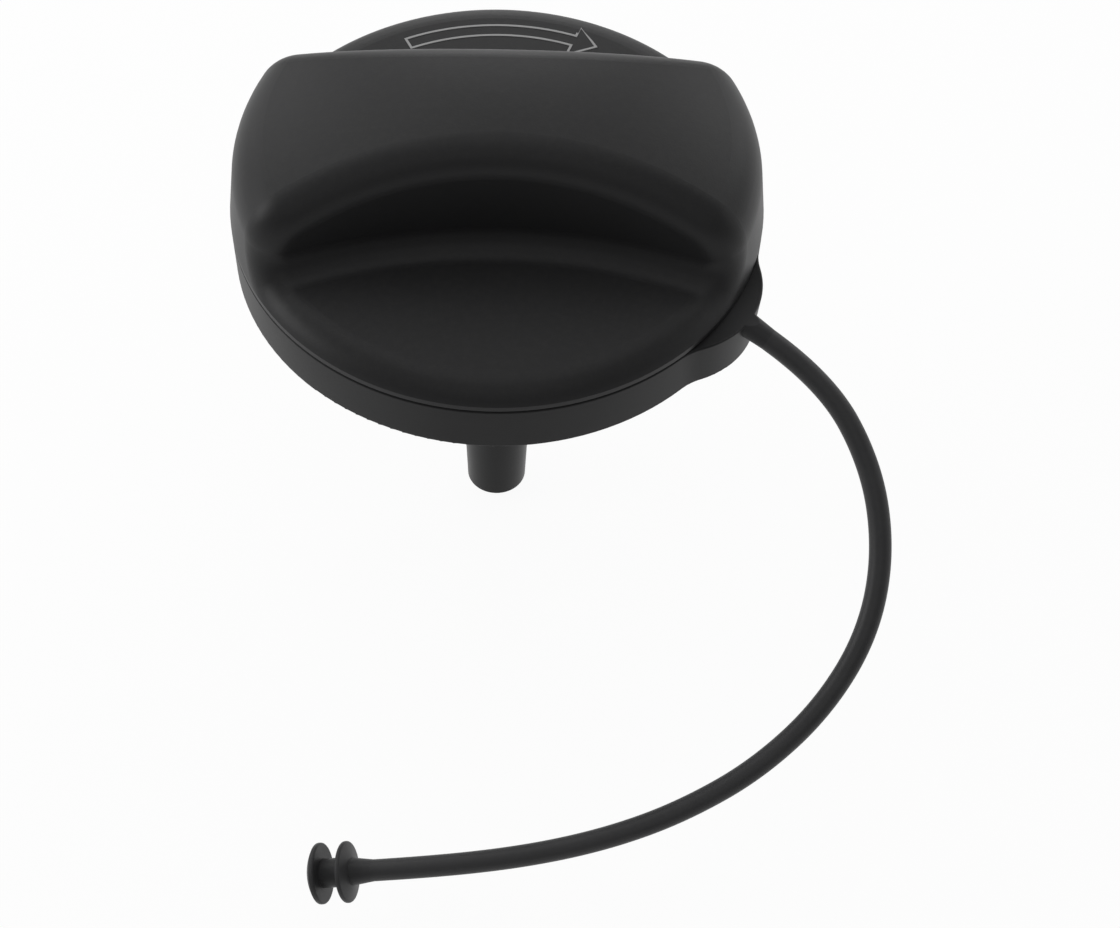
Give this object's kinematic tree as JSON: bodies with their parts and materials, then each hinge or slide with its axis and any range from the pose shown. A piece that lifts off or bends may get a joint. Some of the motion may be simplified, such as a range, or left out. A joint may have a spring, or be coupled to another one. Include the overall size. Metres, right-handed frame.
{
  "type": "fuel filler cap",
  "caption": "Round screw-in fuel filler cap with a wide grip bar, a swivelling tether ring, a curved tether cord with a push-in button, and a valve housing with a long stem.",
  "frame": {"origin": "on the cap's axis, in the plane where the gasket meets the filler neck", "axes": "+Z along the cap's axis, outwards from the neck towards the grip bar; +X along the grip bar; -Y is the side the tether cord hangs on"},
  "size_m": [0.0982, 0.1267, 0.0933],
  "materials": {
    "black_plastic": "satin moulded, fine grain",
    "ring_plastic": "satin moulded",
    "cord_plastic": "soft satin",
    "body_plastic": "moulded",
    "housing_plastic": "moulded",
    "natural_plastic": "natural acetal",
    "seal_rubber": "matt",
    "spring_steel": "drawn wire"
  },
  "bodies": {
    "closure": {"closure_body": "body_plastic", "neck_gasket": "seal_rubber", "ratchet_ring": "natural_plastic", "valve_housing": "housing_plastic", "housing_seal": "seal_rubber", "spring_retainer": "body_plastic", "pressure_spring": "spring_steel"},
    "grip": {"cover": "black_plastic"},
    "tether": {"tether_ring": "ring_plastic", "tether_cord": "cord_plastic", "tether_button": "cord_plastic"},
    "pressure_valve": {"pressure_plate": "natural_plastic", "pressure_seal": "seal_rubber", "vacuum_spring": "spring_steel"},
    "vacuum_valve": {"vacuum_valve": "natural_plastic", "spring_collar": "spring_steel"}
  },
  "joints": [
    {"name": "cover_turn", "type": "hinge", "parent": "closure", "child": "grip", "pos_m": [0, 0, 0.0137], "axis": [0, 0, 1], "range_deg": [-360, 0]},
    {"name": "ring_swivel", "type": "hinge", "parent": "closure", "child": "tether", "pos_m": [0, 0, 0.006], "axis": [0, 0, 1], "continuous": true},
    {"name": "pressure_lift", "type": "slide", "parent": "closure", "child": "pressure_valve", "axis": [0, 0, 1], "range_m": [0, 0.002], "stiffness_N_per_m": 600, "springref_m": -0.004, "deforming": ["pressure_spring"]},
    {"name": "vacuum_drop", "type": "slide", "parent": "pressure_valve", "child": "vacuum_valve", "axis": [0, 0, -1], "range_m": [0, 0.0015], "stiffness_N_per_m": 100, "springref_m": -0.003, "deforming": ["vacuum_spring"]}
  ]
}
